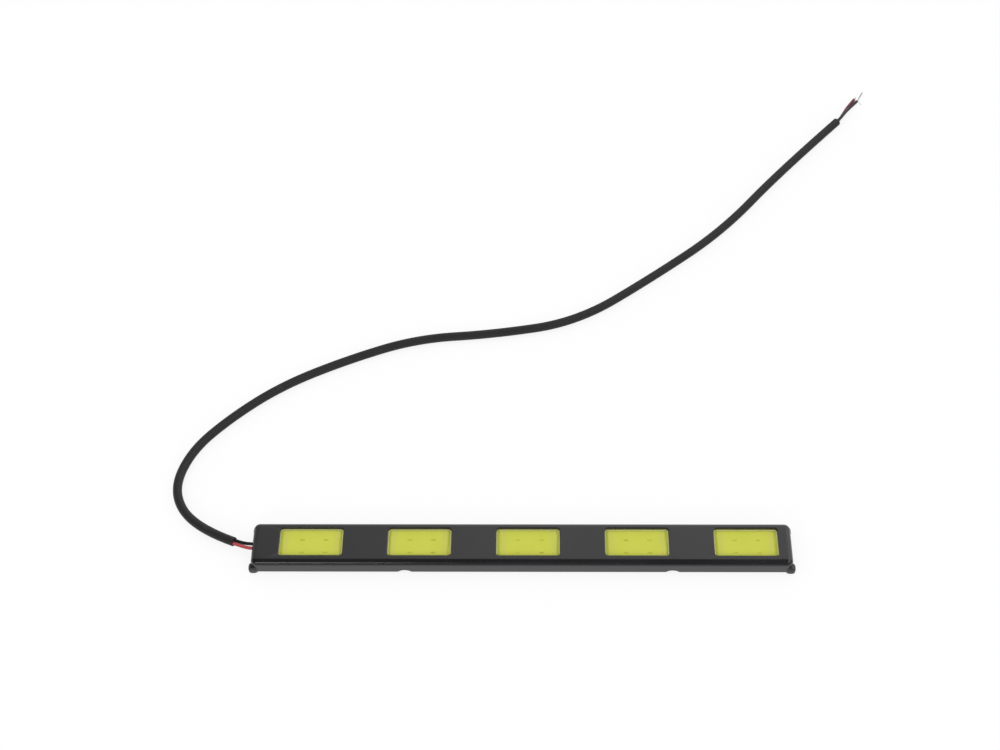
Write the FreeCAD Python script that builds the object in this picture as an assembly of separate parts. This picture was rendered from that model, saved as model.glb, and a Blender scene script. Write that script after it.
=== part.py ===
import FreeCAD, Part
import math
import os

# LED light strip for a car: a drawn sheet-metal shell with a row of punched windows, a board with
# one lit field behind each window, potted from below and stuck down with foam tape.
# A two-core cable leaves one end and lies on the surface that the strip rests on.
# Millimetres. +X runs along the strip, away from the cable, +Y to the rear, +Z out of the lit face.
# Origin: on that surface, under the centre of the strip.

V = FreeCAD.Vector

# Windows and lit fields
WINDOW_COUNT = 5
WINDOW_LENGTH = 20.1
WINDOW_WIDTH = 10.2
WINDOW_RADIUS = 1.0
WINDOW_GAP = 14.15          # shell between one window and the next

# Shell
SHEET = 0.7
BEND_RADIUS = 1.8           # outside of the bend round the lit face
CORNER_RADIUS = 2.0         # plan corner, outside
LEFT_LAND = 6.8             # flat face between the bend and the first window, at the cable's end
RIGHT_LAND = 2.5
FRONT_LAND = 1.25
REAR_LAND = 0.35
HEIGHT = 5.6                # from the ears' feet to the lit face
SKIRT_LIFT = 0.5            # the sides stop this far above the ears' feet

# Ears: the metal that gathers at the corners of the drawn shell and is left untrimmed
EAR_SIZE = 3.0              # an ear is a rounded square in plan
EAR_ROUND = 0.75
EAR_PAST_END = 0.9          # how far an ear stands out past the strip's end
EAR_PAST_SIDE = 0.55        # and past its side
EAR_FOOT_BEVEL = 0.4
EAR_SHOULDER = 1.1          # an ear is upright to this height
EAR_TOP = 3.6               # and tapers into the wall up to this height
EAR_TOP_SIZE = 1.8
EAR_TOP_ROUND = 0.75
EAR_TOP_DEPTH = 0.5         # taper's end to the wall's outside

# Small arched notches in the lower edges of the long sides
NOTCH_LENGTH = 4.2
NOTCH_RISE = 0.9
NOTCH_FROM_LEFT = (48.1, 131.6)

# Board, its lit fields and what is soldered to it
BOARD_THICKNESS = 1.2
BOARD_CLEARANCE = 0.3       # board to shell wall, all round
BOARD_RADIUS = 0.8
DAM_HEIGHT = 0.9            # board to the underside of the sheet
DAM_SHOW = 0.3              # dam seen inside a window's edge
DAM_SEAT = 0.5              # dam hidden under a window's edge
PHOSPHOR_BELOW_DAM = 0.2
PHOSPHOR_BEVEL = 0.3
DIE_LENGTH = 1.6
DIE_WIDTH = 0.7
DIE_HEIGHT = 0.3
DIE_SPACING_X = 7.4
DIE_SPACING_Y = 4.65
DIE_SHIFT_X = 0.5           # dies sit off the middle window's centre by this
DIE_SHIFT_Y = -1.3
DIE_PITCH_SHORT = 0.2       # and each group is this much nearer to the next than the windows are
RESISTOR_LENGTH = 2.0
RESISTOR_WIDTH = 1.25
RESISTOR_HEIGHT = 0.5
SOLDER_SIZE = 1.3
SOLDER_HEIGHT = 0.6
SOLDER_BEVEL = 0.3
PAD_FROM_BOARD_END = 1.4    # board's left end to the solder pads' centres
PAD_LAND = 3.7              # board's left end to the first window

# Potting and tape
FILL_BOTTOM = 1.0
TAPE_INSET = 0.9            # potting's outline to the tape's

# Cable
JACKET_DIAMETER = 3.0
CORE_DIAMETER = 1.1
STRAND_DIAMETER = 0.45
JACKET_SIDES = 12           # flats round the jacket
CORE_SIDES = 8
STRAND_SIDES = 6
CORE_CLEARANCE = 0.05       # core to the potting that it lies on
STRAND_CLEARANCE = 0.03     # strands to the pad that they are soldered to
SLOT_CLEARANCE = 0.15       # core to the edge of the slot in the shell
SLOT_CORE_SPACING = 1.6
JACKET_CORE_SPACING = 1.2
JACKET_END_RISE = 1.2       # the jacket's end at the strip is held up by its cores
CORE_STRAIGHT = 2.7         # cores leave the jacket straight for this far
CORE_BEFORE_SLOT = 1.4      # and run straight into the slot from here
LEAD_BAY_CORE = 0.5         # share of the bay behind the slot that the insulation reaches across
STRAND_RISE_START = 0.3     # share of the rest of the bay before the strands rise to the board
STRAND_RISE_END = 0.2       # share of it left when they are up
RED_TIP_STRAIGHT = 0.5      # bare strands leave their insulation straight for this far
BLACK_TIP_STRAIGHT = 0.7
ARC_SHARE = 0.45            # share of the shorter run that an arc takes up

# Route of the jacket, from the slot's mouth, along X and Y, on the floor
ROUTE = [
    (-6.15, 2.0), (-19.5, 8.0), (-28.5, 21.5), (-24.5, 38.0), (-12.5, 52.0), (3.5, 65.5), (24.5, 76.5),
    (48.5, 86.0), (75.0, 88.0), (104.0, 93.5), (131.0, 114.0), (157.0, 136.0), (180.0, 165.5), (204.0, 192.1),
]

# Free ends of the cores beyond the jacket: forward along the cable, to its left, and height of the axis
RED_FREE_END = [(0.0, 0.2, 0.92), (2.0, 0.2, 0.92), (7.7, 1.65, 0.62), (11.3, 2.35, 0.56), (15.1, 2.75, 0.56)]
BLACK_FREE_END = [(0.0, -0.2, 2.1), (2.0, -0.2, 2.1), (6.4, 0.6, 1.8), (10.7, 1.1, 1.0), (15.0, 1.42, 0.56)]
RED_TIP = [(16.3, 2.95, 0.5)]
BLACK_TIP = [(18.3, 2.2, 0.45), (20.65, 2.82, 0.34)]

# Sizes that follow
WIDTH = WINDOW_WIDTH + FRONT_LAND + REAR_LAND + 2 * BEND_RADIUS
WINDOW_PITCH = WINDOW_LENGTH + WINDOW_GAP
LENGTH = WINDOW_COUNT * WINDOW_PITCH - WINDOW_GAP + LEFT_LAND + RIGHT_LAND + 2 * BEND_RADIUS
WINDOW_Y = (FRONT_LAND - REAR_LAND) / 2
FIRST_WINDOW_EDGE = -LENGTH / 2 + BEND_RADIUS + LEFT_LAND
WINDOW_CENTRES = [FIRST_WINDOW_EDGE + WINDOW_LENGTH / 2 + WINDOW_PITCH * i for i in range(WINDOW_COUNT)]

INNER_LENGTH = LENGTH - 2 * SHEET
INNER_WIDTH = WIDTH - 2 * SHEET
INNER_CORNER = CORNER_RADIUS - SHEET
INNER_BEVEL = (BEND_RADIUS - SHEET) * (2 - math.sqrt(2))   # flat inside the bend that leaves the sheet its thickness
SHEET_UNDERSIDE = HEIGHT - SHEET

BOARD_TOP = SHEET_UNDERSIDE - DAM_HEIGHT
BOARD_BOTTOM = BOARD_TOP - BOARD_THICKNESS
BOARD_LEFT = FIRST_WINDOW_EDGE - PAD_LAND
BOARD_RIGHT = INNER_LENGTH / 2 - BOARD_CLEARANCE
BOARD_WIDTH = INNER_WIDTH - 2 * BOARD_CLEARANCE
PHOSPHOR_TOP = SHEET_UNDERSIDE - PHOSPHOR_BELOW_DAM
PAD_X = BOARD_LEFT + PAD_FROM_BOARD_END

SLOT_X = -LENGTH / 2
LEAD_Z = BOARD_BOTTOM + CORE_DIAMETER / 2 + CORE_CLEARANCE
STRAND_Z = BOARD_TOP + STRAND_DIAMETER / 2 + STRAND_CLEARANCE
LEAD_BAY = BOARD_LEFT + INNER_LENGTH / 2
CORE_END_X = -INNER_LENGTH / 2 + LEAD_BAY * LEAD_BAY_CORE

MARGIN = 1.0                # how far cutters run past what they cut
TOLERANCE = 0.01


def on_circle(centre, radius, degrees):
    """Point of a level circle."""
    angle = math.radians(degrees)
    return centre + V(radius * math.cos(angle), radius * math.sin(angle), 0)


def rounded_outline(length, width, radius, x, y, z):
    """Closed level wire: a rectangle with round corners, centred on (x, y)."""
    arcs = []
    for side_x, side_y, start in ((1, 1, 0), (-1, 1, 90), (-1, -1, 180), (1, -1, 270)):
        centre = V(x + side_x * (length / 2 - radius), y + side_y * (width / 2 - radius), z)
        arcs.append([on_circle(centre, radius, start + turn) for turn in (0, 45, 90)])
    edges = []
    for here, after in zip(arcs, arcs[1:] + arcs[:1]):
        edges.append(Part.Arc(*here).toShape())
        edges.append(Part.LineSegment(here[2], after[0]).toShape())
    return Part.Wire(edges)


def slab(length, width, radius, bottom, top, x=0.0, y=0.0):
    """Level plate with round corners."""
    outline = rounded_outline(length, width, radius, x, y, bottom)
    return Part.Face(outline).extrude(V(0, 0, top - bottom))


def top_rim(solid):
    """Edges of the top face."""
    top = solid.BoundBox.ZMax
    return [edge for edge in solid.Edges if edge.BoundBox.ZMin > top - TOLERANCE]


def round_top(solid, radius):
    return solid.makeFillet(radius, top_rim(solid))


def bevel_top(solid, width):
    return solid.makeChamfer(width, top_rim(solid))


def block(length, width, bottom, height, x, y):
    """Level box centred on (x, y)."""
    return Part.makeBox(length, width, height, V(x - length / 2, y - width / 2, bottom))


def window_cutter(x):
    """Punch for one window."""
    return slab(WINDOW_LENGTH, WINDOW_WIDTH, WINDOW_RADIUS, SHEET_UNDERSIDE - MARGIN, HEIGHT + MARGIN, x, WINDOW_Y)


def ear(side_x, side_y):
    """Bulb at a plan corner that stands on a bevelled foot and tapers up into the wall."""
    x = side_x * (LENGTH / 2 + EAR_PAST_END - EAR_SIZE / 2)
    y = side_y * (WIDTH / 2 + EAR_PAST_SIDE - EAR_SIZE / 2)
    top_x = side_x * (LENGTH / 2 - EAR_TOP_DEPTH - EAR_TOP_SIZE / 2)
    top_y = side_y * (WIDTH / 2 - EAR_TOP_DEPTH - EAR_TOP_SIZE / 2)
    foot = EAR_SIZE - 2 * EAR_FOOT_BEVEL
    levels = [
        rounded_outline(foot, foot, EAR_ROUND - EAR_FOOT_BEVEL, x, y, 0),
        rounded_outline(EAR_SIZE, EAR_SIZE, EAR_ROUND, x, y, EAR_FOOT_BEVEL),
        rounded_outline(EAR_SIZE, EAR_SIZE, EAR_ROUND, x, y, EAR_SHOULDER),
        rounded_outline(EAR_TOP_SIZE, EAR_TOP_SIZE, EAR_TOP_ROUND, top_x, top_y, EAR_TOP),
    ]
    return Part.makeLoft(levels, True, True)


def notch_cutter(x):
    """Round bar across the strip that leaves an arch in the lower edge of both long sides."""
    radius = (NOTCH_LENGTH ** 2 / 4 + NOTCH_RISE ** 2) / (2 * NOTCH_RISE)
    start = V(x, -WIDTH / 2 - MARGIN, SKIRT_LIFT + NOTCH_RISE - radius)
    return Part.makeCylinder(radius, WIDTH + 2 * MARGIN, start, V(0, 1, 0))


def slot_cutter():
    """Slot for both cores through the end wall."""
    radius = CORE_DIAMETER / 2 + SLOT_CLEARANCE
    depth = SHEET + 2 * MARGIN
    half = SLOT_CORE_SPACING / 2
    start = SLOT_X - MARGIN
    holes = [Part.makeCylinder(radius, depth, V(start, side * half, LEAD_Z), V(1, 0, 0)) for side in (-1, 1)]
    middle = Part.makeBox(depth, SLOT_CORE_SPACING, 2 * radius, V(start, -half, LEAD_Z - radius))
    return middle.fuse(holes)


def make_housing():
    outside = round_top(slab(LENGTH, WIDTH, CORNER_RADIUS, SKIRT_LIFT, HEIGHT), BEND_RADIUS)
    inside = bevel_top(slab(INNER_LENGTH, INNER_WIDTH, INNER_CORNER, -MARGIN, SHEET_UNDERSIDE), INNER_BEVEL)
    ears = [ear(side_x, side_y) for side_x in (-1, 1) for side_y in (-1, 1)]
    cutters = [window_cutter(x) for x in WINDOW_CENTRES]
    cutters += [notch_cutter(-LENGTH / 2 + distance) for distance in NOTCH_FROM_LEFT]
    cutters.append(slot_cutter())
    shell = outside.fuse(ears).cut(inside).cut(cutters)
    return shell.removeSplitter()


def make_board():
    length = BOARD_RIGHT - BOARD_LEFT
    middle = (BOARD_RIGHT + BOARD_LEFT) / 2
    return slab(length, BOARD_WIDTH, BOARD_RADIUS, BOARD_BOTTOM, BOARD_TOP, middle)


def field_slab(top, x):
    """Plate on the board with the outline that the dam leaves inside a window."""
    length = WINDOW_LENGTH - 2 * DAM_SHOW
    width = WINDOW_WIDTH - 2 * DAM_SHOW
    return slab(length, width, WINDOW_RADIUS - DAM_SHOW, BOARD_TOP, top, x, WINDOW_Y)


def make_dies(x):
    """Four light-emitting dies in two rows, on the board."""
    middle = sum(WINDOW_CENTRES) / WINDOW_COUNT
    group_x = x + DIE_SHIFT_X - DIE_PITCH_SHORT * (x - middle) / WINDOW_PITCH
    dies = []
    for side_x in (-1, 1):
        for side_y in (-1, 1):
            die_x = group_x + side_x * DIE_SPACING_X / 2
            die_y = WINDOW_Y + DIE_SHIFT_Y + side_y * DIE_SPACING_Y / 2
            dies.append(block(DIE_LENGTH, DIE_WIDTH, BOARD_TOP, DIE_HEIGHT, die_x, die_y))
    return Part.makeCompound(dies)


def make_dam(x):
    """Frame round a field, from the board to the underside of the sheet."""
    frame = block(WINDOW_LENGTH + 2 * DAM_SEAT, WINDOW_WIDTH + 2 * DAM_SEAT, BOARD_TOP, DAM_HEIGHT, x, WINDOW_Y)
    return frame.cut(field_slab(SHEET_UNDERSIDE + MARGIN, x))


def make_phosphor(x):
    """Gel cast over the dies inside the dam, lower at its rim."""
    gel = bevel_top(field_slab(PHOSPHOR_TOP, x), PHOSPHOR_BEVEL)
    return gel.cut(make_dies(x))


def make_resistors():
    """One resistor under each bar of shell between two windows."""
    places = [(here + after) / 2 for here, after in zip(WINDOW_CENTRES, WINDOW_CENTRES[1:])]
    chips = [block(RESISTOR_LENGTH, RESISTOR_WIDTH, BOARD_TOP, RESISTOR_HEIGHT, x, WINDOW_Y) for x in places]
    return Part.makeCompound(chips)


def make_fill():
    return slab(INNER_LENGTH, INNER_WIDTH, INNER_CORNER, FILL_BOTTOM, BOARD_BOTTOM)


def make_tape():
    return slab(INNER_LENGTH - 2 * TAPE_INSET, INNER_WIDTH - 2 * TAPE_INSET, BOARD_RADIUS, 0.0, FILL_BOTTOM)


def cord_section(centre, axis, diameter, sides):
    """Closed outline across a cord: flats in place of a circle keep a long, plain cord light."""
    across = V(0, 0, 1).cross(axis).normalize()
    above = axis.cross(across).normalize()
    corners = []
    for number in range(sides):
        angle = 2 * math.pi * number / sides
        corners.append(centre + (across * math.cos(angle) + above * math.sin(angle)) * (diameter / 2))
    return Part.makePolygon(corners + corners[:1])


def tube(name, points, diameter, sides):
    """Cord along straight runs joined by arcs as large as the runs allow; prints its radii."""
    edges = []
    radii = []
    here = points[0]
    for before, point, after in zip(points, points[1:], points[2:]):
        back = (before - point).normalize()
        ahead = (after - point).normalize()
        turn = math.pi - back.getAngle(ahead)
        reach = ARC_SHARE * min(before.distanceToPoint(point), after.distanceToPoint(point))
        radius = reach / math.tan(turn / 2)
        bisector = (back + ahead).normalize()
        middle = point + bisector * (radius / math.cos(turn / 2) - radius)
        start = point + back * reach
        end = point + ahead * reach
        edges.append(Part.LineSegment(here, start).toShape())
        edges.append(Part.Arc(start, middle, end).toShape())
        radii.append(round(radius, 1))
        here = end
    edges.append(Part.LineSegment(here, points[-1]).toShape())
    path = Part.Wire(edges)
    section = cord_section(points[0], points[1] - points[0], diameter, sides)
    bar = path.makePipeShell([section], True, False)
    expected = Part.Face(section).Area * path.Length
    print(name, "length", round(path.Length, 2), "radii", radii, "volume ratio", round(bar.Volume / expected, 5))
    return bar


def route_points():
    """The jacket's points: on the floor, with its first end raised."""
    lying = JACKET_DIAMETER / 2
    points = [V(SLOT_X + x, y, lying) for x, y in ROUTE]
    points[0].z += JACKET_END_RISE
    return points


def core_at_strip(side):
    """Points of a core from the jacket's cut end, through the slot, into the bay behind it."""
    route = route_points()
    outward = (route[0] - route[1]).normalize()
    across = V(0, 0, 1).cross(outward).normalize()
    slot_y = side * SLOT_CORE_SPACING / 2
    start = route[0] + across * (side * JACKET_CORE_SPACING / 2)
    return [
        start,
        start + outward * CORE_STRAIGHT,
        V(SLOT_X - CORE_BEFORE_SLOT, slot_y, LEAD_Z),
        V(CORE_END_X, slot_y, LEAD_Z),
    ]


def strands_at_strip(side):
    """Points of the bare strands from the insulation's end up onto the solder pad."""
    slot_y = side * SLOT_CORE_SPACING / 2
    left = BOARD_LEFT - CORE_END_X
    return [
        V(CORE_END_X, slot_y, LEAD_Z),
        V(CORE_END_X + STRAND_RISE_START * left, slot_y, LEAD_Z),
        V(BOARD_LEFT - STRAND_RISE_END * left, slot_y, STRAND_Z),
        V(PAD_X - SOLDER_SIZE / 2, slot_y, STRAND_Z),
    ]


def make_solder(side):
    """Lump of solder on a pad; the strands end at its face."""
    lump = block(SOLDER_SIZE, SOLDER_SIZE, BOARD_TOP, SOLDER_HEIGHT, PAD_X, side * SLOT_CORE_SPACING / 2)
    return bevel_top(lump, SOLDER_BEVEL)


def beyond_jacket(steps):
    """Points given as forward, left and height, counted from the jacket's far end."""
    route = route_points()
    forward = (route[-1] - route[-2]).normalize()
    left = V(0, 0, 1).cross(forward)
    end = V(route[-1].x, route[-1].y, 0)
    return [end + forward * ahead + left * aside + V(0, 0, height) for ahead, aside, height in steps]


def tip_points(core, straight, steps):
    """Points of the bare strands beyond a core's free end, straight on at first."""
    ahead = (core[-1] - core[-2]).normalize()
    return [core[-1], core[-1] + ahead * straight] + beyond_jacket(steps)


def make_nodes():
    nodes = {
        "housing": make_housing(),
        "led_board": make_board(),
        "ballast_resistors": make_resistors(),
        "resin_fill": make_fill(),
        "mounting_tape": make_tape(),
        "cable_jacket": tube("cable_jacket", route_points(), JACKET_DIAMETER, JACKET_SIDES),
    }
    for number, x in enumerate(WINDOW_CENTRES, start=1):
        nodes["phosphor_%d" % number] = make_phosphor(x)
        nodes["dam_%d" % number] = make_dam(x)
        nodes["led_dies_%d" % number] = make_dies(x)
    leads = (
        ("red", -1, RED_FREE_END, RED_TIP_STRAIGHT, RED_TIP),
        ("black", 1, BLACK_FREE_END, BLACK_TIP_STRAIGHT, BLACK_TIP),
    )
    for colour, side, free_end, straight, tip in leads:
        core = beyond_jacket(free_end)
        paths = (
            ("core_at_strip", core_at_strip(side), CORE_DIAMETER, CORE_SIDES),
            ("strands_at_strip", strands_at_strip(side), STRAND_DIAMETER, STRAND_SIDES),
            ("core_free_end", core, CORE_DIAMETER, CORE_SIDES),
            ("strands_free_end", tip_points(core, straight, tip), STRAND_DIAMETER, STRAND_SIDES),
        )
        for name, points, diameter, sides in paths:
            node = colour + "_" + name
            nodes[node] = tube(node, points, diameter, sides)
        nodes[colour + "_solder_joint"] = make_solder(side)
    return nodes


os.makedirs("parts", exist_ok=True)
for node_name, shape in make_nodes().items():
    shape.exportStep("parts/%s.step" % node_name)
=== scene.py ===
import math

import bmesh
import bpy
from mathutils import Matrix, Vector


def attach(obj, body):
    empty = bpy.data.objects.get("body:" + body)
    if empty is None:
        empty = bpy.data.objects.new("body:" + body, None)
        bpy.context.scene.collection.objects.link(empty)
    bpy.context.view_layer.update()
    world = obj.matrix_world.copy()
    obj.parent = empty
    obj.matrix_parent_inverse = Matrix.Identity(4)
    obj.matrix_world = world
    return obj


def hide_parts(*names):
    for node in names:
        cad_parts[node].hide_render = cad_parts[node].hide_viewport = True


# Looks of an LED light strip: a black enamelled shell with five lit fields and its two-core cable.
# Sizes are in millimetres and are turned into metres where a mesh, curve or lamp is made.

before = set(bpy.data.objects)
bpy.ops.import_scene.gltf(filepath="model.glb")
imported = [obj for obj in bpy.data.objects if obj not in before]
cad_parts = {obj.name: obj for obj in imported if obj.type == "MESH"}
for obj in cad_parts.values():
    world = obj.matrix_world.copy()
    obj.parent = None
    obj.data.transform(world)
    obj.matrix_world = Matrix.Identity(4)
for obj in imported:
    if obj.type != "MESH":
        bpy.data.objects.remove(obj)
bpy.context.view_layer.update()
bpy.context.scene.view_settings.view_transform = "Standard"

MM = 0.001

# Shell, as in the part's source
WINDOW_COUNT = 5
WINDOW_LENGTH = 20.1
WINDOW_WIDTH = 10.2
WINDOW_RADIUS = 1.0
WINDOW_PITCH = 34.25
WINDOW_Y = 0.45
FIRST_WINDOW_X = -66.35
LENGTH = 170.0
WIDTH = 15.4
HEIGHT = 5.6
SHEET = 0.7
BEND_RADIUS = 1.8
CORNER_RADIUS = 2.0
SKIRT_LIFT = 0.5
EAR_SIZE = 3.0
EAR_PAST_END = 0.9
EAR_PAST_SIDE = 0.55
NOTCH_LENGTH = 4.2
NOTCH_RISE = 0.9
NOTCH_FROM_LEFT = (48.4, 132.5)

# Fields behind the windows
BOARD_TOP = 4.0
GEL_TOP = 4.7
DAM_SHOW = 0.3
DAM_SEAT = 0.5
DIE_SPACING = (7.4, 4.65)
DIE_SHIFT = (0.5, -1.3)
DIE_PITCH_SHORT = 0.2

# Cable
JACKET_DIAMETER = 3.0
CORE_DIAMETER = 1.1
STRAND_BUNDLE = 0.45
SLOT_HALF_SPACING = 0.8
SLOT_CLEARANCE = 0.15
JACKET_HALF_SPACING = 0.6
LEAD_HEIGHT = 3.4
CORE_STRAIGHT = 2.7
CORE_BEFORE_SLOT = 0.9
CORE_END_X = -82.15
SLOT_X = -LENGTH / 2

window_xs = [FIRST_WINDOW_X + WINDOW_PITCH * number for number in range(WINDOW_COUNT)]


def add_object(name, data):
    made = bpy.data.objects.new(name, data)
    bpy.context.scene.collection.objects.link(made)
    return made


# Node helpers

def node(tree, kind, inputs=None, **settings):
    """Adds a node; an input's value is a number, a colour or another node's output."""
    made = tree.nodes.new(kind)
    for key, value in settings.items():
        setattr(made, key, value)
    for socket, value in (inputs or {}).items():
        if isinstance(value, bpy.types.NodeSocket):
            tree.links.new(value, made.inputs[socket])
        else:
            made.inputs[socket].default_value = value
    return made


def mix_colours(tree, factor, first, second):
    # A colour mix has its factor at socket 0, its colours at 6 and 7 and its result at 2
    return node(tree, "ShaderNodeMix", {0: factor, 6: first, 7: second}, data_type="RGBA").outputs[2]


def maths(tree, operation, first, second=0.0):
    return node(tree, "ShaderNodeMath", {0: first, 1: second}, operation=operation).outputs[0]


def remap(tree, value, low, high, to_low=0.0, to_high=1.0):
    """Smooth step from one range to another, held at its ends."""
    made = node(
        tree, "ShaderNodeMapRange",
        {"Value": value, "From Min": low, "From Max": high, "To Min": to_low, "To Max": to_high},
        interpolation_type="SMOOTHSTEP",
    )
    return made.outputs["Result"]


def place(tree):
    """Position on the part, in metres."""
    return node(tree, "ShaderNodeTexCoord").outputs["Object"]


def noise(tree, vector, features_per_metre, detail=3.0, roughness=0.5):
    made = node(
        tree, "ShaderNodeTexNoise",
        {"Vector": vector, "Scale": features_per_metre, "Detail": detail, "Roughness": roughness},
    )
    return made.outputs["Fac"]


def bump(tree, height, depth):
    """Normal from a height of 0 to 1 that stands for depth, in metres."""
    inputs = {"Height": height, "Strength": 1.0, "Distance": depth}
    return node(tree, "ShaderNodeBump", inputs).outputs["Normal"]


def new_material(name):
    material = bpy.data.materials.new(name)
    material.use_nodes = True
    return material, material.node_tree, material.node_tree.nodes["Principled BSDF"]


def finish_shader(tree, shader, colour, roughness, normal, **constants):
    """Links what varies over the surface and sets what does not."""
    tree.links.new(colour, shader.inputs["Base Color"])
    tree.links.new(roughness, shader.inputs["Roughness"])
    tree.links.new(normal, shader.inputs["Normal"])
    for socket, value in constants.items():
        shader.inputs[socket.replace("_", " ")].default_value = value


# Materials: noise scales are features per metre and depths of grain are metres

NOISE_SPAN = (0.3, 0.7)     # where most of a noise's values lie

ENAMEL_DARK = (0.0075, 0.0061, 0.0076, 1.0)
ENAMEL_LIGHT = (0.0115, 0.0096, 0.012, 1.0)
ENAMEL_ROUGHNESS = (0.19, 0.27)
PEEL_DEPTH = 1.8e-6
DUST_COLOUR = (0.16, 0.16, 0.165, 1.0)
DUST_SPAN = (0.74, 0.8)     # only the highest spots of a fine noise are dust
DUST_COVER = 0.35
# painted reflection: the ears' paler grey stands in for the white floor they mirror, not the enamel's own
# colour
EAR_PAINTED_REFLECTION = (0.032, 0.032, 0.033, 1.0)
EAR_DULLNESS = 0.3          # added to the enamel's roughness
EAR_FADE = 0.8              # share of an ear's size above which its look fades into the wall's

GEL_DARK = (0.61, 0.645, 0.062, 1.0)
GEL_LIGHT = (0.665, 0.69, 0.088, 1.0)
GEL_ROUGHNESS = (0.4, 0.55)
GEL_GRAIN = 8e-6
# Near each field's ends the gel gets a painted shade (the green band) where its rim slopes away, and a
# painted highlight (the wan band) inside that
GREEN_SHADE_COLOUR = (0.40, 0.43, 0.04, 1.0)
GREEN_SHADE_MOST = 0.55
GREEN_SHADE_RISE = (0.45, 0.75)   # millimetres from a field's end between which the painted green shade comes
GREEN_SHADE_FALL = (0.9, 1.5)     # and goes
WAN_HIGHLIGHT_COLOUR = (0.60, 0.60, 0.13, 1.0)
WAN_HIGHLIGHT_MOST = 0.45
WAN_HIGHLIGHT_RISE = (1.1, 1.8)
WAN_HIGHLIGHT_FALL = (2.2, 3.6)
BAND_WANDER = 1.2           # how far the cloudy edges of those painted bands of shade and highlight wander
MARK_COLOUR = (0.43, 0.44, 0.036, 1.0)
MARK_HALF = (0.7, 0.26)     # half size of a die's mark, and the width of its soft edge
MARK_SOFT = (0.3, 0.2)
MARK_LEAST = 0.35
MARK_SPAN = (0.35, 0.65)
EDGE_COLOUR = (0.72, 0.74, 0.30, 1.0)
EDGE_MOST = 0.7
EDGE_FADE = 0.3

RUB_SPAN = (0.56, 0.7)
RUB_COVER = 0.3
RUB_PALER = 1.8


def speckled_material(name, dark, light, features, roughness, grain_depth, **constants):
    """Plain surface with mottled colour, uneven gloss and a fine grain."""
    material, tree, shader = new_material(name)
    where = place(tree)
    cloud = noise(tree, where, features)
    grain = noise(tree, where, features * 6, detail=4.0)
    colour = mix_colours(tree, cloud, (*dark, 1.0), (*light, 1.0))
    gloss = remap(tree, grain, *NOISE_SPAN, *roughness)
    finish_shader(tree, shader, colour, gloss, bump(tree, grain, grain_depth), **constants)
    return material


def enamel_material():
    """Black enamel over sheet metal: orange peel and dust, duller on the gathered ears, which are also
    painted a paler grey as a painted reflection of the white floor.
    """
    material, tree, shader = new_material("black_enamel")
    where = place(tree)
    peel = noise(tree, where, 500.0, detail=1.0)
    cloud = noise(tree, where, 45.0, detail=3.0)
    dust = remap(tree, noise(tree, where, 5200.0, detail=1.0), *DUST_SPAN)
    base = mix_colours(tree, cloud, ENAMEL_DARK, ENAMEL_LIGHT)
    dusty = mix_colours(tree, maths(tree, "MULTIPLY", dust, DUST_COVER), base, DUST_COLOUR)
    parts = node(tree, "ShaderNodeSeparateXYZ", {0: where}).outputs
    ear_painted_light_and_dullness = remap(tree, parts["Z"], EAR_FADE * EAR_SIZE * MM, EAR_SIZE * MM, 1.0, 0.0)
    for axis, half in (("X", LENGTH / 2), ("Y", WIDTH / 2)):
        aside = maths(tree, "ABSOLUTE", parts[axis])
        near = remap(tree, aside, (half - EAR_SIZE) * MM, (half - EAR_SIZE / 2) * MM)
        ear_painted_light_and_dullness = maths(tree, "MULTIPLY", ear_painted_light_and_dullness, near)
    # the paler grey on the ears is painted reflection; the added dullness below is real roughness
    colour = mix_colours(tree, ear_painted_light_and_dullness, dusty, EAR_PAINTED_REFLECTION)
    plain = remap(tree, cloud, *NOISE_SPAN, *ENAMEL_ROUGHNESS)
    gloss = maths(tree, "ADD", plain, maths(tree, "MULTIPLY", ear_painted_light_and_dullness, EAR_DULLNESS))
    finish_shader(
        tree, shader, colour, gloss, bump(tree, peel, PEEL_DEPTH),
        Specular_IOR_Level=0.63, Coat_Weight=0.15, Coat_Roughness=0.12,
    )
    return material


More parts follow.
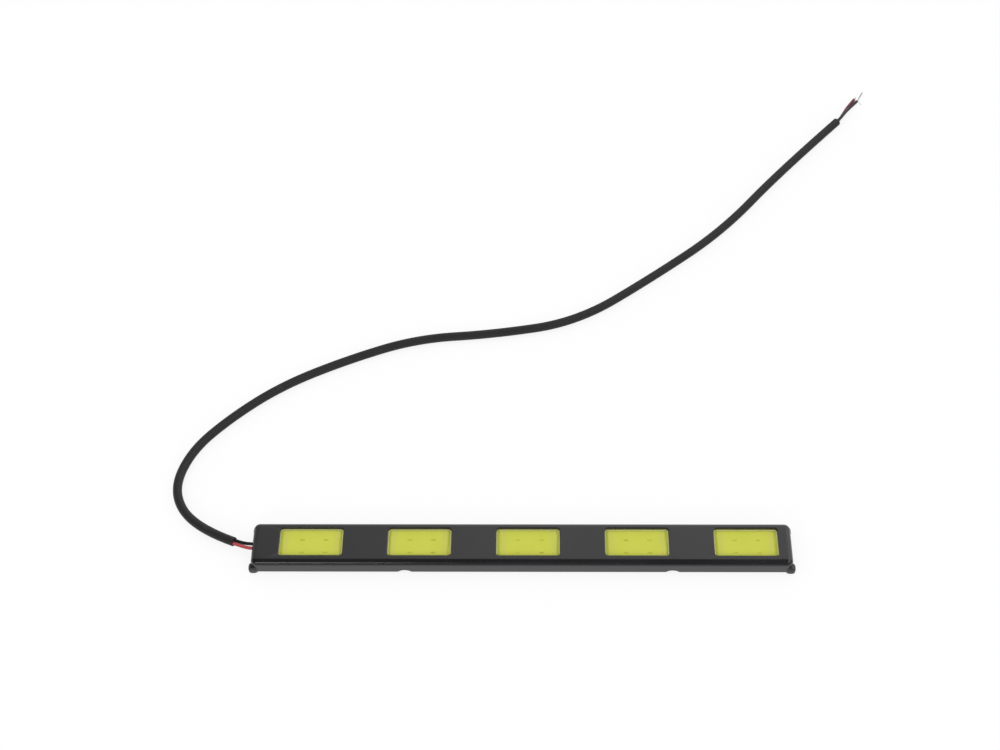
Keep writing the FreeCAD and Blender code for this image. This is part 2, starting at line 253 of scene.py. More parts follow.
def gel_material():
    """Yellow phosphor silicone: pale at the dam, then a painted shade in green and a painted highlight in
    pale yellow inside that, olive over the dies.
    """
    material, tree, shader = new_material("phosphor_gel")
    where = place(tree)
    field = node(tree, "ShaderNodeAttribute", attribute_name="field").outputs["Vector"]
    parts = node(tree, "ShaderNodeSeparateXYZ", {0: field})
    middle = node(tree, "ShaderNodeAttribute", attribute_name="middle").outputs["Vector"]
    across = node(tree, "ShaderNodeSeparateXYZ", {0: middle})
    masks = []
    for axis, spacing, half, soft in zip("XY", DIE_SPACING, MARK_HALF, MARK_SOFT):
        aside = maths(tree, "ABSOLUTE", parts.outputs[axis])
        off = maths(tree, "ABSOLUTE", maths(tree, "SUBTRACT", aside, spacing / 2))
        masks.append(remap(tree, off, half - soft, half + soft, 1.0, 0.0))
    patchy = remap(tree, noise(tree, where, 260.0), *MARK_SPAN, MARK_LEAST, 1.0)
    mark = maths(tree, "MULTIPLY", maths(tree, "MULTIPLY", masks[0], masks[1]), patchy)
    cloud = noise(tree, where, 180.0, detail=4.0)
    grain = noise(tree, where, 6000.0, detail=3.0)
    wander = maths(tree, "MULTIPLY", maths(tree, "SUBTRACT", cloud, 0.5), BAND_WANDER)
    from_end = maths(tree, "SUBTRACT", WINDOW_LENGTH / 2, maths(tree, "ABSOLUTE", across.outputs["X"]))
    from_side = maths(tree, "SUBTRACT", WINDOW_WIDTH / 2, maths(tree, "ABSOLUTE", across.outputs["Y"]))
    from_edge = maths(tree, "MINIMUM", from_end, from_side)
    loose = maths(tree, "ADD", from_end, wander)
    # painted shade band first, then painted highlight band
    painted_light_bands = (
        (GREEN_SHADE_RISE, GREEN_SHADE_FALL, GREEN_SHADE_MOST, GREEN_SHADE_COLOUR),
        (WAN_HIGHLIGHT_RISE, WAN_HIGHLIGHT_FALL, WAN_HIGHLIGHT_MOST, WAN_HIGHLIGHT_COLOUR),
    )
    gel_with_painted_light = mix_colours(tree, cloud, GEL_DARK, GEL_LIGHT)
    for rise, fall, most, tint in painted_light_bands:
        painted_light_band = maths(tree, "MULTIPLY", remap(tree, loose, *rise), remap(tree, loose, *fall, most, 0.0))
        gel_with_painted_light = mix_colours(tree, painted_light_band, gel_with_painted_light, tint)
    marked = mix_colours(tree, mark, gel_with_painted_light, MARK_COLOUR)
    pale = remap(tree, from_edge, DAM_SHOW, DAM_SHOW + EDGE_FADE, EDGE_MOST, 0.0)
    colour = mix_colours(tree, pale, marked, EDGE_COLOUR)
    gloss = remap(tree, grain, *NOISE_SPAN, *GEL_ROUGHNESS)
    finish_shader(
        tree, shader, colour, gloss, bump(tree, grain, GEL_GRAIN),
        Specular_IOR_Level=0.35, Subsurface_Weight=0.15, Subsurface_Scale=0.0004,
    )
    return material


def insulation_material(name, dark, light, roughness, grain_depth, specular):
    """Extruded soft plastic with a cloudy, slightly rubbed skin."""
    material, tree, shader = new_material(name)
    where = place(tree)
    cloud = noise(tree, where, 160.0, detail=4.0)
    skin = noise(tree, where, 1500.0, detail=4.0)
    rub = remap(tree, noise(tree, where, 420.0, detail=5.0, roughness=0.7), *RUB_SPAN)
    base = mix_colours(tree, cloud, (*dark, 1.0), (*light, 1.0))
    rubbed = (*[RUB_PALER * part for part in light], 1.0)
    colour = mix_colours(tree, maths(tree, "MULTIPLY", rub, RUB_COVER), base, rubbed)
    gloss = remap(tree, skin, *NOISE_SPAN, *roughness)
    finish_shader(tree, shader, colour, gloss, bump(tree, skin, grain_depth), Specular_IOR_Level=specular)
    return material


enamel = enamel_material()
gel = gel_material()
sheath = insulation_material(
    "cable_sheath", (0.017, 0.017, 0.0172), (0.026, 0.026, 0.026), (0.48, 0.6), 6e-6, 0.3,
)
red_plastic = insulation_material(
    "red_insulation", (0.42, 0.045, 0.055), (0.56, 0.085, 0.095), (0.3, 0.42), 5e-6, 0.5,
)
# darker copy of the red insulation for the free end: painted shade, the core is the same plastic as the lead
red_painted_shade = insulation_material(
    "red_insulation_painted_shade", (0.15, 0.02, 0.034), (0.23, 0.036, 0.052), (0.34, 0.46), 5e-6, 0.4,
)
black_plastic = insulation_material(
    "black_insulation", (0.008, 0.008, 0.008), (0.014, 0.014, 0.014), (0.3, 0.42), 5e-6, 0.42,
)
tinned = speckled_material(
    "tinned_strands", (0.56, 0.56, 0.57), (0.64, 0.635, 0.62), 900.0, (0.45, 0.58), 2e-6, Metallic=1.0,
)
solder = speckled_material(
    "solder", (0.45, 0.45, 0.46), (0.66, 0.66, 0.66), 700.0, (0.2, 0.38), 6e-6, Metallic=1.0,
)
silicone = speckled_material(
    "dam_silicone", (0.66, 0.68, 0.27), (0.74, 0.76, 0.35), 300.0, (0.4, 0.55), 6e-6,
    Subsurface_Weight=0.1, Subsurface_Scale=0.0003,
)
mask = speckled_material("board_mask", (0.72, 0.73, 0.72), (0.80, 0.81, 0.80), 200.0, (0.35, 0.5), 4e-6)
ceramic = speckled_material(
    "resistor_body", (0.016, 0.016, 0.018), (0.03, 0.03, 0.032), 900.0, (0.4, 0.55), 4e-6,
)
resin = speckled_material(
    "potting_resin", (0.012, 0.012, 0.013), (0.022, 0.022, 0.023), 120.0, (0.16, 0.3), 2e-5,
)
foam = speckled_material("foam_tape", (0.035, 0.035, 0.037), (0.06, 0.06, 0.062), 1600.0, (0.75, 0.9), 5e-5)
die_stone = speckled_material("led_die", (0.30, 0.29, 0.06), (0.40, 0.39, 0.09), 800.0, (0.3, 0.4), 3e-6)


def dress(name, material):
    """Gives a CAD node its finish."""
    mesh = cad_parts[name].data
    mesh.materials.clear()
    mesh.materials.append(material)


# Camera, fitted to the edges and windows in the photograph with its angle of 52 degrees chosen beforehand

FOCAL_PIXELS = 1804.39
PHOTO_WIDTH = 1000.0        # pixels
SENSOR = 36.0
CAMERA_PLACE = Vector((5.5111, -307.7432, 485.3711))
CAMERA_DOWN = 0.907571      # radians below the horizon
CAMERA_YAW = -0.0347
CAMERA_ROLL = -0.0282
NEAREST = 10.0
FARTHEST = 100000.0


def add_camera():
    data = bpy.data.cameras.new("camera")
    data.sensor_fit = "HORIZONTAL"
    data.sensor_width = SENSOR
    data.lens = SENSOR * FOCAL_PIXELS / PHOTO_WIDTH
    data.clip_start = NEAREST * MM
    data.clip_end = FARTHEST * MM
    level = math.cos(CAMERA_DOWN)
    ahead = Vector((math.sin(CAMERA_YAW) * level, math.cos(CAMERA_YAW) * level, -math.sin(CAMERA_DOWN)))
    right = Vector((math.cos(CAMERA_YAW), -math.sin(CAMERA_YAW), 0.0))
    above = right.cross(ahead)
    rolled_right = math.cos(CAMERA_ROLL) * right + math.sin(CAMERA_ROLL) * above
    rolled_above = math.cos(CAMERA_ROLL) * above - math.sin(CAMERA_ROLL) * right
    turn = Matrix((rolled_right, rolled_above, -ahead)).transposed()
    camera = add_object("camera", data)
    camera.matrix_world = Matrix.Translation(CAMERA_PLACE * MM) @ turn.to_4x4()
    bpy.context.scene.camera = camera


add_camera()


# Cable: each cord is a spline with the route's points as its control points

JACKET_ROUTE = [
    (-6.15, 2.0), (-19.5, 8.0), (-28.5, 21.5), (-24.5, 38.0), (-12.5, 52.0), (3.5, 65.5), (24.5, 76.5),
    (48.5, 86.0), (75.0, 88.0), (104.0, 93.5), (131.0, 114.0), (157.0, 136.0), (180.0, 165.5),
    (204.0, 192.1),
]
JACKET_END_RISE = 1.2
CORD_STEPS = 16
CORD_SIDES = 6              # points to a quarter turn of a cord, and of a strand
STRAND_SIDES = 3
RED_FREE_END = [
    (0.0, 0.2, 0.92), (2.0, 0.2, 0.92), (7.7, 1.65, 0.62), (11.3, 2.35, 0.56), (15.1, 2.75, 0.56),
]
BLACK_FREE_END = [
    (0.0, -0.2, 2.1), (2.0, -0.2, 2.1), (6.4, 0.6, 1.8), (10.7, 1.1, 1.0), (15.0, 1.42, 0.56),
]
RED_TIP = [(16.3, 2.95, 0.5)]
BLACK_TIP = [(18.3, 2.2, 0.45), (20.65, 2.82, 0.34)]
STRAY_STRAND = [
    (14.8, 1.38, 0.56), (15.35, 1.4, 0.55), (15.5, 0.9, 0.45), (15.25, 0.1, 0.3), (15.0, -0.75, 0.1),
]
RED_TIP_STRAIGHT = 0.5
BLACK_TIP_STRAIGHT = 0.7
STRAND_COUNT = 7            # one in the middle and the rest round it
STRAND_LAY = 9.0            # length of one twist
STRAND_SPLAY = 0.4

jacket_points = [Vector((SLOT_X + x, y, JACKET_DIAMETER / 2)) for x, y in JACKET_ROUTE]
jacket_points[0].z += JACKET_END_RISE


def add_spline(curve, points):
    spline = curve.splines.new("NURBS")
    spline.points.add(len(points) - 1)
    for control, point in zip(spline.points, points):
        control.co = (*(point * MM), 1.0)
    spline.order_u = 3
    spline.use_endpoint_u = True


def new_curve(name, diameter):
    curve = bpy.data.curves.new(name, "CURVE")
    curve.dimensions = "3D"
    curve.resolution_u = CORD_STEPS
    curve.bevel_depth = diameter / 2 * MM
    curve.bevel_resolution = CORD_SIDES
    curve.use_fill_caps = True
    return curve


def add_piece(name, data, material, node_name):
    """A piece of the part that takes the place of a CAD node."""
    piece = add_object(name, data)
    data.materials.append(material)
    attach(piece, "root")
    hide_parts(node_name)
    return piece


def add_cord(name, points, diameter, material, node_name):
    curve = new_curve(name, diameter)
    add_spline(curve, points)
    return add_piece(name, curve, material, node_name)


def core_at_strip(side):
    """From the jacket's cut end into the slot; the last three points keep it straight through the wall."""
    outward = (jacket_points[0] - jacket_points[1]).normalized()
    across = Vector((0, 0, 1)).cross(outward).normalized()
    slot_y = side * SLOT_HALF_SPACING
    start = jacket_points[0] + across * (side * JACKET_HALF_SPACING)
    return [
        start,
        start + outward * CORE_STRAIGHT,
        Vector((SLOT_X - CORE_BEFORE_SLOT, slot_y, LEAD_HEIGHT)),
        Vector((SLOT_X + SHEET / 2, slot_y, LEAD_HEIGHT)),
        Vector((CORE_END_X, slot_y, LEAD_HEIGHT)),
    ]


def beyond_jacket(steps):
    """Points given as forward, left and height, counted from the jacket's far end."""
    forward = (jacket_points[-1] - jacket_points[-2]).normalized()
    left = Vector((0, 0, 1)).cross(forward)
    end = Vector((jacket_points[-1].x, jacket_points[-1].y, 0))
    return [end + forward * ahead + left * aside + Vector((0, 0, height)) for ahead, aside, height in steps]


def spline_points(points):
    """Points along the smooth spline through a route's control points."""
    curve = new_curve("path", 0.0)
    add_spline(curve, points)
    path = add_object("path", curve)
    bpy.context.view_layer.update()
    mesh = bpy.data.meshes.new_from_object(path.evaluated_get(bpy.context.evaluated_depsgraph_get()))
    found = [vertex.co / MM for vertex in mesh.vertices]
    bpy.data.objects.remove(path)
    return found


def add_strands(name, points, strays, node_name):
    """Bare strands twisted round their bundle's line, which open a little towards the tip."""
    line = spline_points(points)
    strand = STRAND_BUNDLE / 3
    curve = new_curve(name, strand)
    curve.bevel_resolution = STRAND_SIDES
    travelled = [0.0]
    for before, after in zip(line, line[1:]):
        travelled.append(travelled[-1] + (after - before).length)
    for number in range(STRAND_COUNT):
        places = []
        for index, centre in enumerate(line):
            ahead = line[min(index + 1, len(line) - 1)] - line[max(index - 1, 0)]
            across = Vector((0, 0, 1)).cross(ahead).normalized()
            above = ahead.cross(across).normalized()
            share = travelled[index] / travelled[-1]
            angle = 2 * math.pi * (number / (STRAND_COUNT - 1) + travelled[index] / STRAND_LAY)
            reach = 0.0 if number == 0 else strand * (1 + STRAND_SPLAY * share * share)
            places.append(centre + (across * math.cos(angle) + above * math.sin(angle)) * reach)
        add_spline(curve, places)
    for stray in strays:
        add_spline(curve, stray)
    return add_piece(name, curve, tinned, node_name)


def tip_points(core, straight, steps):
    """From a core's end, straight on for a little and then by its tip's points."""
    ahead = (core[-1] - core[-2]).normalized()
    return [core[-1], core[-1] + ahead * straight] + beyond_jacket(steps)


def add_cable():
    jacket = add_cord("jacket", jacket_points, JACKET_DIAMETER, sheath, "cable_jacket")
    leads = (
        # the red tail takes the darker copy of its plastic, which is painted shade
        ("red", -1, RED_FREE_END, RED_TIP_STRAIGHT, RED_TIP, red_plastic, red_painted_shade),
        ("black", 1, BLACK_FREE_END, BLACK_TIP_STRAIGHT, BLACK_TIP, black_plastic, black_plastic),
    )
    for colour, side, free_end, straight, tip, plastic, tail_plastic in leads:
        free = beyond_jacket(free_end)
        node_name = colour + "_core_at_strip"
        add_cord(colour + "_lead", core_at_strip(side), CORE_DIAMETER, plastic, node_name)
        node_name = colour + "_core_free_end"
        add_cord(colour + "_tail", free, CORE_DIAMETER, tail_plastic, node_name)
        node_name = colour + "_strands_free_end"
        strays = [beyond_jacket(STRAY_STRAND)] if colour == "black" else []
        add_strands(colour + "_strands", tip_points(free, straight, tip), strays, node_name)
        dress(colour + "_strands_at_strip", tinned)
        dress(colour + "_solder_joint", solder)


add_cable()


# Shell: rings of points that follow the plan, from the inner face round the lower edge to the lit face

CORNERS = ((1, 1, 0), (-1, 1, 90), (-1, -1, 180), (1, -1, 270))     # sides in X and Y, first angle
CORNER_STEPS = 40
EAR_SQUARENESS = 3.0        # power of the curve that is an ear's plan
EAR_HEAD_POWER = 2.3        # powers of the curves that are its upper and lower half from the side
EAR_FOOT_POWER = 6.0
EAR_HEIGHT = 2.8
REAR_EAR_SHORT = 0.35       # the rear ears stand out less past the ends
EAR_SEARCH = 0.02           # step of the search for an ear's outside
EAR_SEARCH_STEPS = 90
EAR_DROP = 3.0              # how fast the lower edge comes down to an ear's foot
EDGE_BREAK = 0.12
WINDOW_EDGE = 0.18
LIP_DEPTH = 1.0             # lit face to the lower edge of a window's turned-in lip
LIP_SHEET = 0.15
EDGE_STEPS = 5
BEND_STEPS = 12
WINDOW_STEPS = 10
FINE_STEP = 0.2             # between points along a side, beside the corners and at the notches
WALL_STEPS = 36
SLOT_STEPS = 12
SLOT_OVERRUN = 1.0          # the slot's cutter reaches this far past both faces of the wall
SHELL_CREASE = 38           # degrees between faces above which an edge stays sharp


def side_stations(length, notches):
    """Distances along a straight side from its first corner, close together where it is shaped."""
    marks = {0.0, length}
    steps = int(CORNER_RADIUS / FINE_STEP)
    for step in range(1, steps):
        marks.add(step * FINE_STEP)
        marks.add(length - step * FINE_STEP)
    for notch in notches:
        steps = int(NOTCH_LENGTH / 2 / FINE_STEP) + 1
        for step in range(-steps, steps + 1):
            marks.add(notch + step * FINE_STEP)
    return sorted(marks)[1:-1]


def shell_outline():
    """Points round the shell: place, outward direction, and the notch's rise there."""
    half_length = LENGTH / 2 - CORNER_RADIUS
    half_width = WIDTH / 2 - CORNER_RADIUS
    radius = (NOTCH_LENGTH ** 2 / 4 + NOTCH_RISE ** 2) / (2 * NOTCH_RISE)
    notch_xs = [distance - LENGTH / 2 for distance in NOTCH_FROM_LEFT]
    points = []
    for number, (side_x, side_y, start) in enumerate(CORNERS):
        centre = Vector((side_x * half_length, side_y * half_width))
        for step in range(CORNER_STEPS + 1):
            share = step / CORNER_STEPS
            angle = math.radians(start + 90 * share)
            outward = Vector((math.cos(angle), math.sin(angle)))
            points.append((centre + outward * CORNER_RADIUS, outward, 0.0))
        long_side = number % 2 == 0
        length = 2 * half_length if long_side else 2 * half_width
        first = points[-1][0]
        along = Vector((-outward.y, outward.x))
        notches = [(x - first.x) * along.x for x in notch_xs] if long_side else []
        for distance in side_stations(length, notches):
            rise = 0.0
            for notch in notches:
                aside = abs(distance - notch)
                if aside < NOTCH_LENGTH / 2:
                    rise = math.sqrt(radius ** 2 - aside ** 2) - radius + NOTCH_RISE
            points.append((first + along * distance, outward, rise))
    return points


def ear_depth(spot, height):
    """Above 0 inside an ear, which is a squarish ball, and 0 at its outside."""
    centre_x = LENGTH / 2 + EAR_PAST_END - EAR_SIZE / 2
    if spot.y > 0:
        centre_x -= REAR_EAR_SHORT
    centre_y = WIDTH / 2 + EAR_PAST_SIDE - EAR_SIZE / 2
    along = abs(abs(spot.x) - centre_x) / (EAR_SIZE / 2)
    aside = abs(abs(spot.y) - centre_y) / (EAR_SIZE / 2)
    up = 2 * height / EAR_HEIGHT - 1
    power = EAR_HEAD_POWER if up > 0 else EAR_FOOT_POWER
    return 1 - along ** EAR_SQUARENESS - aside ** EAR_SQUARENESS - abs(up) ** power


def ear_reach(spot, outward, height):
    """How far an ear's outside lies outward of a point of the wall."""
    for step in range(EAR_SEARCH_STEPS, 0, -1):
        reach = step * EAR_SEARCH
        inside = ear_depth(spot + outward * reach, height)
        if inside > 0:
            beyond = ear_depth(spot + outward * (reach + EAR_SEARCH), height)
            return reach + EAR_SEARCH * inside / (inside - beyond)
    return 0.0


def near_corner(spot):
    return abs(spot.x) > LENGTH / 2 - EAR_SIZE and abs(spot.y) > WIDTH / 2 - EAR_SIZE


def lower_edge(spot, rise):
    """Height of the shell's lower edge: down at the ears, up at the notches."""
    if not near_corner(spot):
        return SKIRT_LIFT + rise
    share = min(1.0, EAR_DROP * math.sqrt(max(0.0, ear_depth(spot, EAR_HEIGHT / 2))))
    return SKIRT_LIFT * (1 - share)


def mesh_data(mesh, name):
    """Mesh with its faces turned outwards; the working copy goes."""
    bmesh.ops.recalc_face_normals(mesh, faces=mesh.faces)
    data = bpy.data.meshes.new(name)
    mesh.to_mesh(data)
    mesh.free()
    return data


def add_ring(mesh, points):
    return [mesh.verts.new(point * MM) for point in points]


def join_rings(mesh, rings):
    """Faces between rings; those that go up face outwards."""
    for lower, upper in zip(rings, rings[1:]):
        for index in range(len(lower)):
            after = (index + 1) % len(lower)
            mesh.faces.new((lower[index], lower[after], upper[after], upper[index]))


def ring_edges(mesh, ring):
    return [mesh.edges.get((first, second)) for first, second in zip(ring, ring[1:] + ring[:1])]


def fill_between(mesh, rings, up):
    edges = [edge for ring in rings for edge in ring_edges(mesh, ring)]
    bmesh.ops.triangle_fill(mesh, use_beauty=True, edges=edges, normal=(0, 0, 1 if up else -1))


def rounded_ring(length, width, radius, x, y, inset, height, steps):
    """Level rounded rectangle, drawn in by inset."""
    points = []
    for side_x, side_y, start in CORNERS:
        centre = Vector((x + side_x * (length / 2 - radius), y + side_y * (width / 2 - radius), height))
        for step in range(steps + 1):
            angle = math.radians(start + 90 * step / steps)
            points.append(centre + Vector((math.cos(angle), math.sin(angle), 0)) * (radius - inset))
    return points


def window_ring(x, inset, height):
    return rounded_ring(WINDOW_LENGTH, WINDOW_WIDTH, WINDOW_RADIUS, x, WINDOW_Y, inset, height, WINDOW_STEPS)


def quarter(steps):
    """Share along and share down of a quarter turn."""
    for step in range(steps + 1):
        angle = math.pi / 2 * step / steps
        yield 1 - math.cos(angle), math.sin(angle)


def shell_rings(mesh, outline):
    """Rings from the inner face's edge, down, round the lower edge, up the outside and over the bend."""
    inner_bend = BEND_RADIUS - SHEET
    bend_foot = HEIGHT - BEND_RADIUS
    feet = [lower_edge(spot, rise) for spot, _, rise in outline]
    level = []
    for drawn_in, up in reversed(list(quarter(BEND_STEPS))):
        level.append((SHEET + inner_bend * drawn_in, bend_foot + inner_bend * up))
    rings = []
    for inset, height in level:
        rings.append([(spot - out * inset).to_3d() + Vector((0, 0, height)) for spot, out, _ in outline])
    for inset, lift in ((SHEET, EDGE_BREAK), (SHEET - EDGE_BREAK, 0.0), (EDGE_BREAK, 0.0)):
        ring = []
        for (spot, out, _), foot in zip(outline, feet):
            ring.append((spot - out * inset).to_3d() + Vector((0, 0, foot + lift)))
        rings.append(ring)
    for step in range(WALL_STEPS):
        share = step / WALL_STEPS
        ring = []
        for (spot, out, _), foot in zip(outline, feet):
            start = foot + EDGE_BREAK
            height = start + share * (bend_foot - start)
            push = ear_reach(spot, out, height) if near_corner(spot) else 0.0
            ring.append((spot + out * push).to_3d() + Vector((0, 0, height)))
        rings.append(ring)
    for drawn_in, up in quarter(BEND_STEPS):
        inset, height = BEND_RADIUS * drawn_in, bend_foot + BEND_RADIUS * up
        rings.append([(spot - out * inset).to_3d() + Vector((0, 0, height)) for spot, out, _ in outline])
    return [add_ring(mesh, ring) for ring in rings]


def window_rings(mesh, x):
    """Rings from the lit face over the window's edge, down its lip and up to the sheet's underside."""
    profile = []
    for along, up in reversed(list(quarter(EDGE_STEPS))):
        profile.append((-WINDOW_EDGE * along, HEIGHT - WINDOW_EDGE * (1 - up)))
    profile += [(0.0, HEIGHT - LIP_DEPTH), (-LIP_SHEET, HEIGHT - LIP_DEPTH), (-LIP_SHEET, HEIGHT - SHEET)]
    return [add_ring(mesh, window_ring(x, inset, height)) for inset, height in profile]


def slot_cutter():
    """Obround bar through the end wall, for both leads."""
    mesh = bmesh.new()
    radius = CORE_DIAMETER / 2 + SLOT_CLEARANCE
    length = 2 * (SLOT_HALF_SPACING + radius)
    rings = []
    for x in (SLOT_X - SLOT_OVERRUN, SLOT_X + SHEET + SLOT_OVERRUN):
        flat = rounded_ring(length, 2 * radius, radius, 0.0, 0.0, 0.0, 0.0, SLOT_STEPS)
        rings.append(add_ring(mesh, [Vector((x, point.x, LEAD_HEIGHT + point.y)) for point in flat]))
    join_rings(mesh, rings)
    mesh.faces.new(rings[0])
    mesh.faces.new(rings[1])
    return add_object("slot_cutter", mesh_data(mesh, "slot_cutter"))


def smooth_mesh(data, degrees):
    data.shade_smooth()
    data.set_sharp_from_angle(angle=math.radians(degrees))


def settle_modifiers(source, name):
    """Mesh with the modifiers worked in; the object that had them goes."""
    bpy.context.view_layer.update()
    shown = source.evaluated_get(bpy.context.evaluated_depsgraph_get())
    settled = bpy.data.meshes.new_from_object(shown)
    settled.name = name
    bpy.data.objects.remove(source)
    return settled


def add_shell():
    mesh = bmesh.new()
    rings = shell_rings(mesh, shell_outline())
    join_rings(mesh, rings)
    windows = [window_rings(mesh, x) for x in window_xs]
    for window in windows:
        join_rings(mesh, window)
    fill_between(mesh, [rings[-1]] + [window[0] for window in windows], True)
    fill_between(mesh, [rings[0]] + [window[-1] for window in windows], False)
    blank = add_object("shell_blank", mesh_data(mesh, "shell_blank"))
    cutter = slot_cutter()
    cut = blank.modifiers.new("slot", "BOOLEAN")
    cut.operation = "DIFFERENCE"
    cut.solver = "EXACT"
    cut.object = cutter
    settled = settle_modifiers(blank, "shell")
    bpy.data.objects.remove(cutter)
    smooth_mesh(settled, SHELL_CREASE)
    shell = add_piece("shell", settled, enamel, "housing")
    weighted = shell.modifiers.new("weighted", "WEIGHTED_NORMAL")
    weighted.keep_sharp = True


add_shell()


# Fields: gel that runs down to its dam at the rim

GEL_FALL = 0.22             # how far the gel's rim lies below its middle
GEL_RIM = 0.6
BEAD_RISE = 0.05
BEAD_STEPS = 8
GEL_INSETS = (0.0, 0.03, 0.08, 0.15, 0.24, 0.34, 0.46, 0.6)
GEL_CREASE = 60
BEAD_CREASE = 50


def add_gel(number, x):
    mesh = bmesh.new()
    size = (WINDOW_LENGTH - 2 * DAM_SHOW, WINDOW_WIDTH - 2 * DAM_SHOW, WINDOW_RADIUS - DAM_SHOW)
    rings = [add_ring(mesh, rounded_ring(*size, x, WINDOW_Y, 0.0, BOARD_TOP, WINDOW_STEPS))]
    for inset in GEL_INSETS:
        share = min(inset / GEL_RIM, 1.0)
        height = GEL_TOP - GEL_FALL * (1 - share) ** 2
        rings.append(add_ring(mesh, rounded_ring(*size, x, WINDOW_Y, inset, height, WINDOW_STEPS)))
    join_rings(mesh, rings)
    fill_between(mesh, [rings[-1]], True)
    fill_between(mesh, [rings[0]], False)
    data = mesh_data(mesh, "gel_%d" % number)
    group_x = x + DIE_SHIFT[0] - DIE_PITCH_SHORT * (x - window_xs[WINDOW_COUNT // 2]) / WINDOW_PITCH
    group = Vector((group_x, WINDOW_Y + DIE_SHIFT[1], 0.0))
    centres = {"field": group, "middle": Vector((x, WINDOW_Y, 0.0))}
    for name, centre in centres.items():
        attribute = data.attributes.new(name, "FLOAT_VECTOR", "POINT")
        for vertex in data.vertices:
            attribute.data[vertex.index].vector = vertex.co / MM - centre
    smooth_mesh(data, GEL_CREASE)
    add_piece("gel_%d" % number, data, gel, "phosphor_%d" % number)


def add_dam(number, x):
    """Bead of silicone round a field, seated under the window's lip and a little swollen inside it."""
    mesh = bmesh.new()
    profile = [(-DAM_SEAT, BOARD_TOP), (DAM_SHOW, BOARD_TOP)]
    for step in range(BEAD_STEPS + 1):
        angle = math.pi * step / BEAD_STEPS
        inset = DAM_SHOW / 2 * (1 + math.cos(angle))
        profile.append((inset, HEIGHT - LIP_DEPTH + BEAD_RISE * math.sin(angle)))
    profile += [(-LIP_SHEET, HEIGHT - LIP_DEPTH), (-LIP_SHEET, HEIGHT - SHEET), (-DAM_SEAT, HEIGHT - SHEET)]
    rings = [add_ring(mesh, window_ring(x, inset, height)) for inset, height in profile]
    join_rings(mesh, rings + rings[:1])
    data = mesh_data(mesh, "bead_%d" % number)
    smooth_mesh(data, BEAD_CREASE)
    add_piece("bead_%d" % number, data, silicone, "dam_%d" % number)


for number, x in enumerate(window_xs, start=1):
    add_gel(number, x)
    add_dam(number, x)
    dress("led_dies_%d" % number, die_stone)

dress("led_board", mask)
dress("ballast_resistors", ceramic)
dress("resin_fill", resin)
dress("mounting_tape", foam)


# Floor, surroundings and lamps

FLOOR_SIZE = 12.0           # metres
FLOOR_GREY = 0.18
FLOOR_GLOW = 0.83           # what the floor's own white adds where it is looked at or mirrored
FLAG_START = 8.0            # in front of the strip the floor that it mirrors darkens from here
FLAG_END = 25.0             # to here, as under a black card
FLAG_LEFT = 0.15


def seen(tree, mirrored=1.0):
    """1 for rays that look at a surface, straight or through glass; mirrored for those off a gloss."""
    path = node(tree, "ShaderNodeLightPath").outputs
    straight = maths(tree, "MAXIMUM", path["Is Camera Ray"], path["Is Transmission Ray"])
    return maths(tree, "MAXIMUM", straight, maths(tree, "MULTIPLY", path["Is Glossy Ray"], mirrored))


def add_floor():
    material = bpy.data.materials.new("floor")
    material.use_nodes = True
    tree = material.node_tree
    tree.nodes.clear()
    grey = (FLOOR_GREY, FLOOR_GREY, FLOOR_GREY, 1.0)
    lit = node(tree, "ShaderNodeBsdfDiffuse", {"Color": grey}).outputs[0]
    across = node(tree, "ShaderNodeSeparateXYZ", {0: place(tree)}).outputs["Y"]
    ahead = maths(tree, "SUBTRACT", -WIDTH / 2 * MM, across)
    mirrored = remap(tree, ahead, FLAG_START * MM, FLAG_END * MM, 1.0, FLAG_LEFT)
    strength = maths(tree, "MULTIPLY", seen(tree, mirrored), FLOOR_GLOW)
    glow = node(tree, "ShaderNodeEmission", {"Strength": strength}).outputs[0]
    both = node(tree, "ShaderNodeAddShader", {0: lit, 1: glow}).outputs[0]
    node(tree, "ShaderNodeOutputMaterial", {"Surface": both})
    half = FLOOR_SIZE / 2
    data = bpy.data.meshes.new("floor")
    corners = [(-half, -half, 0), (half, -half, 0), (half, half, 0), (-half, half, 0)]
    data.from_pydata(corners, [], [(0, 1, 2, 3)])
    data.materials.append(material)
    floor = add_object("floor", data)


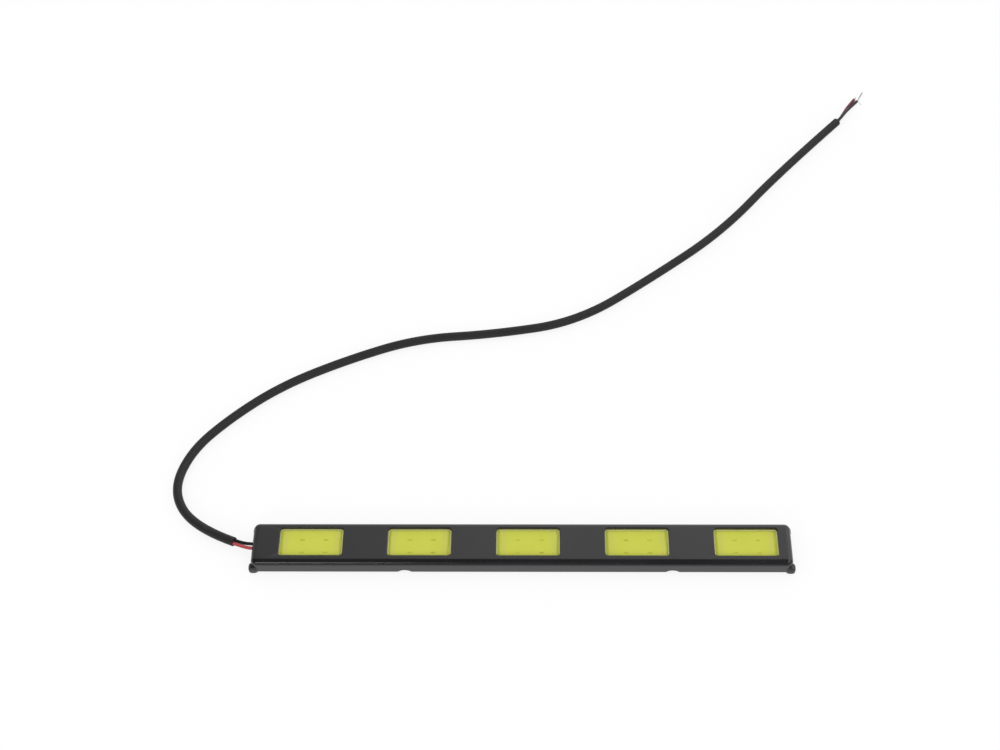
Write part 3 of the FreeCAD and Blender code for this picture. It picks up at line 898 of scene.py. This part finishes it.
WHITE = (1.0, 1.0, 1.0, 1.0)
WORLD_LIGHT = 0.88
MIRRORED_LEFT = 0.52        # the studio's rear as the shell mirrors it: dimmer on the left than on the right
MIRRORED_RIGHT = 1.1
MIRRORED_UPPER = 1.5        # high on the right there is a bright patch
MIRRORED_DARK = 0.1         # overhead and in front it is dark
LEFT_TO_RIGHT = (-0.25, 0.05)   # spans of a direction's X, Y or Z over which one gives way to the other
FRONT_TO_REAR = (0.25, 0.55)
PATCH_ASIDE = (0.22, 0.45)
PATCH_UP = (0.35, 0.6)
HORIZON = (0.0, 0.14)
LAMPS = (                   # name, place and side in metres, watts
    ("front_left", (-0.25, -1.06, 0.56), 0.2, 0.7),
    ("left_side", (-0.46, -0.98, 0.5), 0.12, 1.0),
    ("right_side", (0.6, -0.9, 0.5), 0.12, 0.6),
)


def add_world():
    world = bpy.data.worlds.new("studio")
    world.use_nodes = True
    bpy.context.scene.world = world
    tree = world.node_tree
    tree.nodes.clear()
    way = node(tree, "ShaderNodeTexCoord").outputs["Generated"]
    parts = node(tree, "ShaderNodeSeparateXYZ", {0: way}).outputs
    sideways = remap(tree, parts["X"], *LEFT_TO_RIGHT, MIRRORED_LEFT, MIRRORED_RIGHT)
    rear = maths(tree, "MULTIPLY", sideways, remap(tree, parts["Y"], *FRONT_TO_REAR, MIRRORED_DARK, 1.0))
    aside = remap(tree, parts["X"], *PATCH_ASIDE, 0.0, MIRRORED_UPPER)
    patch = maths(tree, "MULTIPLY", aside, remap(tree, parts["Z"], *PATCH_UP))
    dimmed = maths(tree, "MAXIMUM", rear, patch)
    high = remap(tree, parts["Z"], *HORIZON)
    shaded = maths(tree, "ADD", maths(tree, "MULTIPLY", dimmed, high), maths(tree, "SUBTRACT", 1.0, high))
    looked_at = seen(tree)
    strength = maths(
        tree, "ADD", maths(tree, "MULTIPLY", shaded, looked_at),
        maths(tree, "MULTIPLY", maths(tree, "SUBTRACT", 1.0, looked_at), WORLD_LIGHT),
    )
    background = node(tree, "ShaderNodeBackground", {"Color": WHITE, "Strength": strength}).outputs[0]
    node(tree, "ShaderNodeOutputWorld", {"Surface": background})


def add_lamp(name, spot, size, watts):
    """Square soft lamp that faces the strip; its place is in metres."""
    data = bpy.data.lights.new(name, "AREA")
    data.shape = "SQUARE"
    data.size = size
    data.energy = watts
    lamp = add_object(name, data)
    lamp.location = spot
    lamp.rotation_euler = Vector(spot).to_track_quat("Z", "Y").to_euler()


add_floor()
add_world()
for lamp_values in LAMPS:
    add_lamp(*lamp_values)
